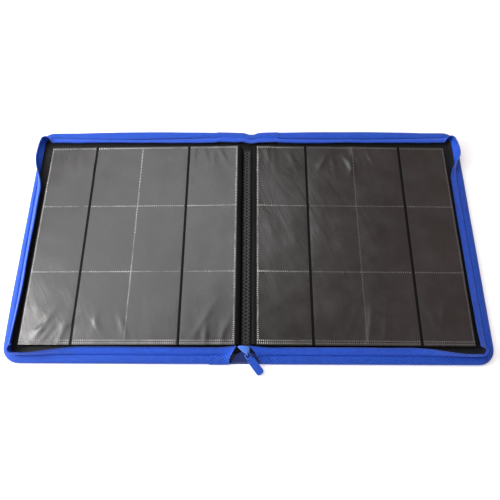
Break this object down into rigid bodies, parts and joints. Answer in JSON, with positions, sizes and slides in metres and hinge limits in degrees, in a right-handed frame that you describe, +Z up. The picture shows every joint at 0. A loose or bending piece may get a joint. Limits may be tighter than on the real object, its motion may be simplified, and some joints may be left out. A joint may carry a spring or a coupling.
{
  "type": "zip-round trading card binder",
  "caption": "Zip-round side-loading card binder lying open, with pocket leaves fanned from a ribbed binding strip, folding covers, zip tape round the rim and a slider with a hanging pull.",
  "frame": {"origin": "middle of the spine's underside, on the surface that the open binder lies on", "axes": "+X across the open binder to the back cover's outer edge, +Y from the near edge to the far edge along the spine, +Z up"},
  "size_m": [0.632, 0.3598, 0.0196],
  "materials": {
    "cover_fabric": "woven, matt",
    "black_lining": "fine smooth cloth",
    "stiff_board": "plain",
    "zip_tape": "tight woven tape",
    "zip_coil": "moulded nylon",
    "slider_metal": "satin enamel",
    "link_wire": "satin enamel",
    "pull_rubber": "soft matt",
    "binding_plastic": "ribbed",
    "leaf_backing": "satin",
    "clear_film": "clear, glossy",
    "pocket_leaf": "clear film over black"
  },
  "bodies": {
    "back_cover": {"back_skin": "cover_fabric", "back_board": "stiff_board", "back_lining": "black_lining", "back_tape_corners": "zip_tape", "back_coil_corners": "zip_coil"},
    "back_near_zip": {"back_tape_near": "zip_tape", "back_coil_near": "zip_coil"},
    "back_far_zip": {"back_tape_far": "zip_tape", "back_coil_far": "zip_coil"},
    "back_outer_zip": {"back_tape_outer": "zip_tape", "back_coil_outer": "zip_coil"},
    "front_cover": {"front_skin": "cover_fabric", "front_board": "stiff_board", "front_lining": "black_lining", "front_tape_corners": "zip_tape", "front_coil_corners": "zip_coil"},
    "front_near_zip": {"front_tape_near": "zip_tape", "front_coil_near": "zip_coil"},
    "front_far_zip": {"front_tape_far": "zip_tape", "front_coil_far": "zip_coil"},
    "front_outer_zip": {"front_tape_outer": "zip_tape", "front_coil_outer": "zip_coil"},
    "spine": {"spine_skin": "cover_fabric", "spine_board": "stiff_board", "spine_lining": "black_lining", "binding_strip": "binding_plastic", "spine_gusset_near": "cover_fabric", "spine_gusset_far": "cover_fabric", "zip_stop_near": "zip_coil", "zip_stop_far": "zip_coil", "slider_body": "slider_metal"},
    "pull_link": {"pull_link": "link_wire"},
    "pull_tab": {"pull_tab": "pull_rubber"},
    "turning_leaf": {"left_leaf_01_backing": "leaf_backing", "left_leaf_01_film_outer": "clear_film", "left_leaf_01_film_middle": "clear_film", "left_leaf_01_film_inner": "clear_film"},
    "left_pages": {"left_leaf_02": "pocket_leaf", "left_leaf_03": "pocket_leaf", "left_leaf_04": "pocket_leaf", "left_leaf_05": "pocket_leaf", "left_leaf_06": "pocket_leaf", "left_leaf_07": "pocket_leaf", "left_leaf_08": "pocket_leaf", "left_leaf_09": "pocket_leaf", "left_leaf_10": "pocket_leaf"},
    "right_pages": {"right_leaf_01_backing": "leaf_backing", "right_leaf_01_film_outer": "clear_film", "right_leaf_01_film_middle": "clear_film", "right_leaf_01_film_inner": "clear_film", "right_leaf_02": "pocket_leaf", "right_leaf_03": "pocket_leaf", "right_leaf_04": "pocket_leaf", "right_leaf_05": "pocket_leaf", "right_leaf_06": "pocket_leaf", "right_leaf_07": "pocket_leaf", "right_leaf_08": "pocket_leaf", "right_leaf_09": "pocket_leaf", "right_leaf_10": "pocket_leaf"}
  },
  "joints": [
    {"name": "spine_fold", "type": "hinge", "parent": "back_cover", "child": "spine", "pos_m": [0.0185, 0, 0.0015], "axis": [0, 1, 0], "range_deg": [0, 90]},
    {"name": "front_cover_fold", "type": "hinge", "parent": "spine", "child": "front_cover", "pos_m": [-0.0185, 0, 0.0015], "axis": [0, 1, 0], "range_deg": [0, 90]},
    {"name": "left_pages_follow", "type": "hinge", "parent": "spine", "child": "left_pages", "pos_m": [-0.012, 0, 0.006], "axis": [0, 1, 0], "range_deg": [0, 90]},
    {"name": "right_pages_follow", "type": "hinge", "parent": "spine", "child": "right_pages", "pos_m": [0.012, 0, 0.006], "axis": [0, 1, 0], "range_deg": [-90, 0]},
    {"name": "leaf_turn", "type": "hinge", "parent": "left_pages", "child": "turning_leaf", "pos_m": [0, 0, 0.01782], "axis": [0, -1, 0], "range_deg": [-177.5, 0]},
    {"name": "pull_link_swing", "type": "hinge", "parent": "spine", "child": "pull_link", "pos_m": [0.00159, -0.16131, 0.0106], "axis": [0.788, 0.6157, 0], "range_deg": [-50, 0]},
    {"name": "pull_tab_swing", "type": "hinge", "parent": "pull_link", "child": "pull_tab", "pos_m": [0.00575, -0.16664, 0.00879], "axis": [0.788, 0.6157, 0], "range_deg": [-60, 0]},
    {"name": "back_near_zip_rise", "type": "hinge", "parent": "back_cover", "child": "back_near_zip", "pos_m": [0.16, -0.1624, 0.0074], "axis": [1, 0, 0], "range_deg": [0, 42]},
    {"name": "back_far_zip_rise", "type": "hinge", "parent": "back_cover", "child": "back_far_zip", "pos_m": [0.16, 0.1624, 0.0074], "axis": [-1, 0, 0], "range_deg": [0, 66]},
    {"name": "back_outer_zip_rise", "type": "hinge", "parent": "back_cover", "child": "back_outer_zip", "pos_m": [0.3054, 0, 0.0074], "axis": [0, 1, 0], "range_deg": [0, 64]},
    {"name": "front_near_zip_rise", "type": "hinge", "parent": "front_cover", "child": "front_near_zip", "pos_m": [-0.16, -0.1624, 0.0074], "axis": [1, 0, 0], "range_deg": [0, 42]},
    {"name": "front_far_zip_rise", "type": "hinge", "parent": "front_cover", "child": "front_far_zip", "pos_m": [-0.16, 0.1624, 0.0074], "axis": [-1, 0, 0], "range_deg": [0, 66]},
    {"name": "front_outer_zip_rise", "type": "hinge", "parent": "front_cover", "child": "front_outer_zip", "pos_m": [-0.3054, 0, 0.0074], "axis": [0, -1, 0], "range_deg": [0, 45]}
  ],
  "couplings": [
    {"joint": "left_pages_follow", "follows": "front_cover_fold", "ratio": 1},
    {"joint": "right_pages_follow", "follows": "spine_fold", "ratio": -1},
    {"joint": "back_near_zip_rise", "follows": "spine_fold", "ratio": 0.46667},
    {"joint": "back_far_zip_rise", "follows": "spine_fold", "ratio": 0.73333},
    {"joint": "back_outer_zip_rise", "follows": "spine_fold", "ratio": 0.71111},
    {"joint": "front_near_zip_rise", "follows": "front_cover_fold", "ratio": 0.46667},
    {"joint": "front_far_zip_rise", "follows": "front_cover_fold", "ratio": 0.73333},
    {"joint": "front_outer_zip_rise", "follows": "front_cover_fold", "ratio": 0.5}
  ]
}
